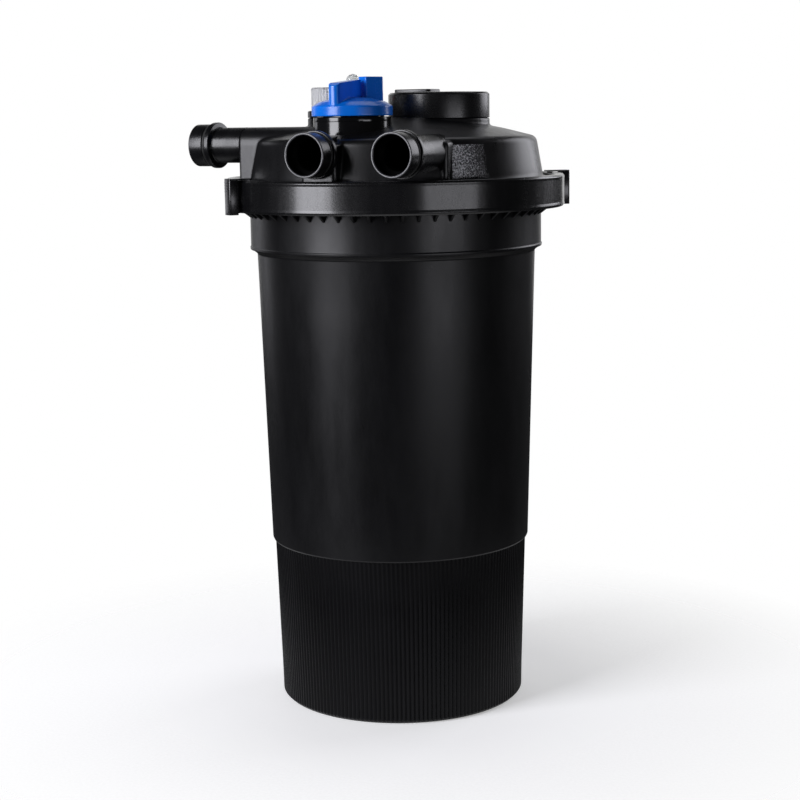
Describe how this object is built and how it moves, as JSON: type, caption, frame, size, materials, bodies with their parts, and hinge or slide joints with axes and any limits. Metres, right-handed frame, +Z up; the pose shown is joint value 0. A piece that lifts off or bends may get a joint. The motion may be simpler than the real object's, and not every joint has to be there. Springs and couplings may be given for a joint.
{
  "type": "pressurised pond filter",
  "caption": "Tall round pressure filter for a pond, with clamp-ring lid, rotary valve with blue knob, hose ports, UV lamp head and stacked foam discs.",
  "frame": {"origin": "centre of the vessel's flat base", "axes": "+Z up along the vessel, -Y the way the two front ports point, -X the way the side port points"},
  "size_m": [0.3814, 0.388, 0.702],
  "materials": {
    "vessel_plastic": "moulded black polypropylene, satin, faint vertical flow marks",
    "lid_plastic": "moulded black plastic, fine-grained and matt",
    "ring_plastic": "moulded black plastic, glossy",
    "port_plastic": "moulded black plastic, satin gloss, worn bright at the mouth rims",
    "knob_blue": "glossy blue ABS",
    "head_plastic": "satin black plastic",
    "seal_rubber": "black nitrile rubber",
    "clear_plastic": "clear acrylic",
    "quartz": "clear quartz",
    "lamp_glass": "lamp glass",
    "inner_plastic": "plain black plastic",
    "inner_white": "off-white plastic",
    "float_red": "red plastic",
    "screw_steel": "stainless steel",
    "foam_coarse": "open-cell blue reticulated foam",
    "foam_medium": "open-cell yellow reticulated foam",
    "foam_fine": "open-cell green reticulated foam"
  },
  "bodies": {
    "filter": {"vessel": "vessel_plastic", "lid": "lid_plastic", "lid_seal": "seal_rubber", "clamp_half_front": "ring_plastic", "clamp_half_rear": "ring_plastic", "inlet_spigot": "port_plastic", "outlet_spigot": "port_plastic", "waste_spigot": "port_plastic", "inlet_oring": "seal_rubber", "outlet_oring": "seal_rubber", "waste_oring": "seal_rubber", "valve_housing": "port_plastic", "valve_gasket": "seal_rubber", "valve_cover": "port_plastic", "valve_cover_screws": "screw_steel", "spindle_oring": "seal_rubber", "uv_head_seal": "seal_rubber", "uv_chamber": "inner_plastic", "sight_glass": "clear_plastic", "sight_glass_seal": "seal_rubber", "sight_glass_nut": "port_plastic", "indicator_socket": "port_plastic", "indicator_dome": "clear_plastic", "inlet_downpipe": "inner_plastic", "bottom_grid": "inner_plastic", "divider_grid": "inner_plastic", "bio_media": "inner_white", "foam_coarse_lower": "foam_coarse", "foam_coarse_upper": "foam_coarse", "foam_medium_lower": "foam_medium", "foam_medium_upper": "foam_medium", "foam_fine": "foam_fine", "top_plate": "inner_plastic", "tie_rods": "screw_steel", "tie_rod_nuts": "screw_steel"},
    "selector": {"selector_knob": "knob_blue", "valve_rotor": "inner_white", "valve_spindle": "inner_white"},
    "uv_unit": {"uv_head": "head_plastic", "cable_gland": "port_plastic", "gland_nut": "port_plastic", "uv_ballast": "inner_plastic", "lamp_socket": "inner_white", "uv_lamp": "lamp_glass", "quartz_sleeve": "quartz", "sleeve_seal": "seal_rubber", "sleeve_nut": "inner_plastic"},
    "clip_left": {"clamp_clip_left": "ring_plastic"},
    "clip_right": {"clamp_clip_right": "ring_plastic"},
    "float": {"indicator_float": "float_red"}
  },
  "joints": [
    {"name": "selector_turn", "type": "hinge", "parent": "filter", "child": "selector", "pos_m": [0, -0.096, 0.65], "axis": [0, 0, 1], "range_deg": [0, 180]},
    {"name": "uv_unit_twist", "type": "hinge", "parent": "filter", "child": "uv_unit", "pos_m": [0.044, 0.023, 0.66], "axis": [0, 0, 1], "range_deg": [0, 40]},
    {"name": "clip_left_slide", "type": "slide", "parent": "filter", "child": "clip_left", "axis": [0, 0, 1], "range_m": [0, 0.045]},
    {"name": "clip_right_slide", "type": "slide", "parent": "filter", "child": "clip_right", "axis": [0, 0, 1], "range_m": [0, 0.045]},
    {"name": "float_slide", "type": "slide", "parent": "filter", "child": "float", "axis": [0, 0, 1], "range_m": [0, 0.008]}
  ]
}
